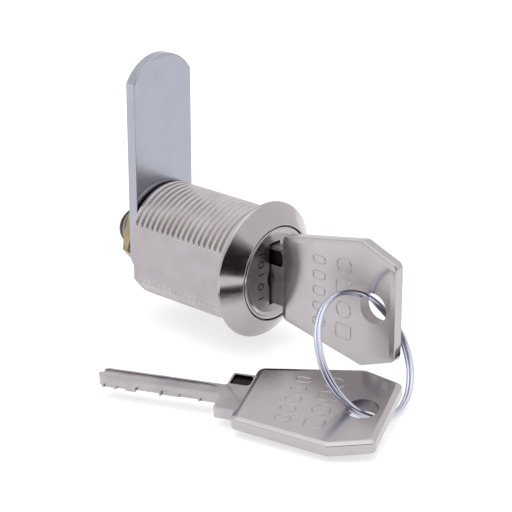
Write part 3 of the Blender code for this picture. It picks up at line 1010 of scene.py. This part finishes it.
def build_ring():
    """Two turns of wire side by side. It crosses from one level to the other next to its ends."""
    joint = JOINTS["spare_key_round_ring"]
    centre = Vector(joint["pos_m"])
    tilt = Vector(joint["axis"]).to_track_quat("Z", "Y").to_matrix().to_4x4()
    steps, sides = 300, 14
    points = []
    for i in range(steps + 1):
        sweep = RING_SWEEP_DEG * i / steps
        t = min(max((sweep - (360 - RING_CROSS_DEG)) / RING_CROSS_DEG, 0.0), 1.0)
        level = WIRE_R * (2 * t * t * (3 - 2 * t) - 1)
        angle = math.radians(RING_START_DEG + sweep)
        end = min(i, steps - i)
        wire = WIRE_R * (WIRE_END_TAPER[end] if end < len(WIRE_END_TAPER) else 1)
        out = Vector((math.cos(angle), math.sin(angle), 0))
        for k in range(sides):
            turn = 2 * math.pi * k / sides
            spot = out * (RING_R + wire * math.cos(turn))
            points.append(spot + Vector((0, 0, level + wire * math.sin(turn))))
    faces = grid_faces(steps + 1, sides, True)
    faces += end_caps(steps + 1, sides)
    ring = mesh_from("wire_ring", points, faces, Matrix.Translation(centre) @ tilt)
    finished(ring, wire_steel, "ring", 50)
    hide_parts("split_ring")


# ---------------------------------------------------------------- CAD nodes that stay

def dress_cad_nodes():
    finishes = {"hex_nut": yellow_zinc, "stop_washer": bright_zinc}
    for number in range(1, 7):
        finishes[f"wafer_{number}"] = cut_brass
        finishes[f"wafer_spring_{number}"] = wire_steel
    finishes["retaining_wafer"] = cut_brass
    finishes["retaining_spring"] = wire_steel
    for name, finish in finishes.items():
        NODES[name].data.materials.clear()
        NODES[name].data.materials.append(finish)


# ---------------------------------------------------------------- set, light and camera

FLOOR_GAP = 0.15 * MM
CAMERA_PLACE = (-0.2146, -0.1835, 0.1183)
CAMERA_BACK = (-0.70054, -0.60376, 0.38042)
CAMERA_LENS = 136.8


def build_set():
    """A pale floor just under the object at rest."""
    made, _, shader = shader_tree("pale_floor")
    shader.inputs["Base Color"].default_value = (0.40, 0.40, 0.40, 1.0)
    shader.inputs["Emission Color"].default_value = (1.0, 1.0, 1.0, 1.0)
    shader.inputs["Emission Strength"].default_value = 0.62
    shader.inputs["Roughness"].default_value = 0.9
    shader.inputs["Specular IOR Level"].default_value = 0.1
    height = cad_low.z - FLOOR_GAP
    side, front, back = 0.9, 105 * MM, 900 * MM
    corners = [(-side, -front), (side, -front), (side, back), (-side, back)]
    mesh = bpy.data.meshes.new("floor")
    mesh.from_pydata([(x, y, height) for x, y in corners], [], [(0, 1, 2, 3)])
    mesh.materials.append(made)
    link("floor", mesh)


def smooth_range(tree, value, start, end, low=0.0, high=1.0):
    """Goes smoothly from low to high while a value goes from start to end."""
    inputs = {"Value": value, "From Min": start, "From Max": end, "To Min": low, "To Max": high}
    made = node(tree, "ShaderNodeMapRange", inputs, interpolation_type="SMOOTHSTEP")
    return made.outputs["Result"]


def build_world():
    """A white studio with a dark band low on one side, which only reflections and light see."""
    world = bpy.data.worlds.new("studio")
    bpy.context.scene.world = world
    world.use_nodes = True
    tree = world.node_tree
    background = tree.nodes["Background"]
    way = node(tree, "ShaderNodeTexCoord").outputs["Generated"]
    parts = node(tree, "ShaderNodeSeparateXYZ", {"Vector": way})
    high = smooth_range(tree, parts.outputs["Z"], 0.36, 0.66)
    inputs = {0: way, 1: (0.55, 0.83, 0.0)}
    facing = node(tree, "ShaderNodeVectorMath", inputs, operation="DOT_PRODUCT")
    side = smooth_range(tree, facing.outputs["Value"], -0.84, -0.45)
    right = smooth_range(tree, parts.outputs["X"], -0.16, -0.05)
    seen = node(tree, "ShaderNodeLightPath").outputs["Is Camera Ray"]
    level = high
    for other in (side, right, seen):
        level = node(tree, "ShaderNodeMath", {0: level, 1: other}, operation="MAXIMUM").outputs[0]
    tone = ramp(tree, level, [(0.0, (0.026, 0.022, 0.025)), (1.0, (1.0, 1.0, 1.0))])
    tree.links.new(tone, background.inputs["Color"])
    zenith = smooth_range(tree, parts.outputs["Z"], 0.72, 0.96, 1.05, 1.75)
    tree.links.new(zenith, background.inputs["Strength"])


def area_light(name, place, target, size, power, colour=(1.0, 1.0, 1.0)):
    data = bpy.data.lights.new(name, "AREA")
    data.shape = "RECTANGLE"
    data.size, data.size_y = size
    data.energy = power
    data.color = colour
    lamp = bpy.data.objects.new(name, data)
    bpy.context.scene.collection.objects.link(lamp)
    lamp.location = place
    lamp.rotation_euler = (Vector(target) - Vector(place)).to_track_quat("-Z", "Y").to_euler()
    lamp.visible_glossy = False


def build_camera():
    """The camera at the photographed angle."""
    data = bpy.data.cameras.new("view")
    data.sensor_width = 36.0
    data.lens = CAMERA_LENS
    data.clip_start = 0.01
    camera = bpy.data.objects.new("view", data)
    bpy.context.scene.collection.objects.link(camera)
    back = Vector(CAMERA_BACK).normalized()
    right = Vector((0, 0, 1)).cross(back).normalized()
    up = back.cross(right)
    turn = Matrix((right, up, back)).transposed().to_4x4()
    camera.matrix_world = Matrix.Translation(CAMERA_PLACE) @ turn
    bpy.context.scene.camera = camera


build_housing()
build_plug()
build_stud()
build_face()
build_cam()
build_spring_washer()
build_key("lock_key", key_in_lock(), "key_in_lock", "key")
build_key("spare_flat_key", spare_key_place(), "spare_key", "spare")
build_ring()
dress_cad_nodes()
build_set()
build_world()
area_light("overhead", (0.0, 0.15, 0.9), (0, 0.1, 0), (1.0, 1.0), 5.0)
area_light("left_soft", (-0.30, 0.05, 0.30), (0, 0, 0), (0.12, 0.12), 0.25)
build_camera()
bpy.context.scene.view_settings.view_transform = "Standard"
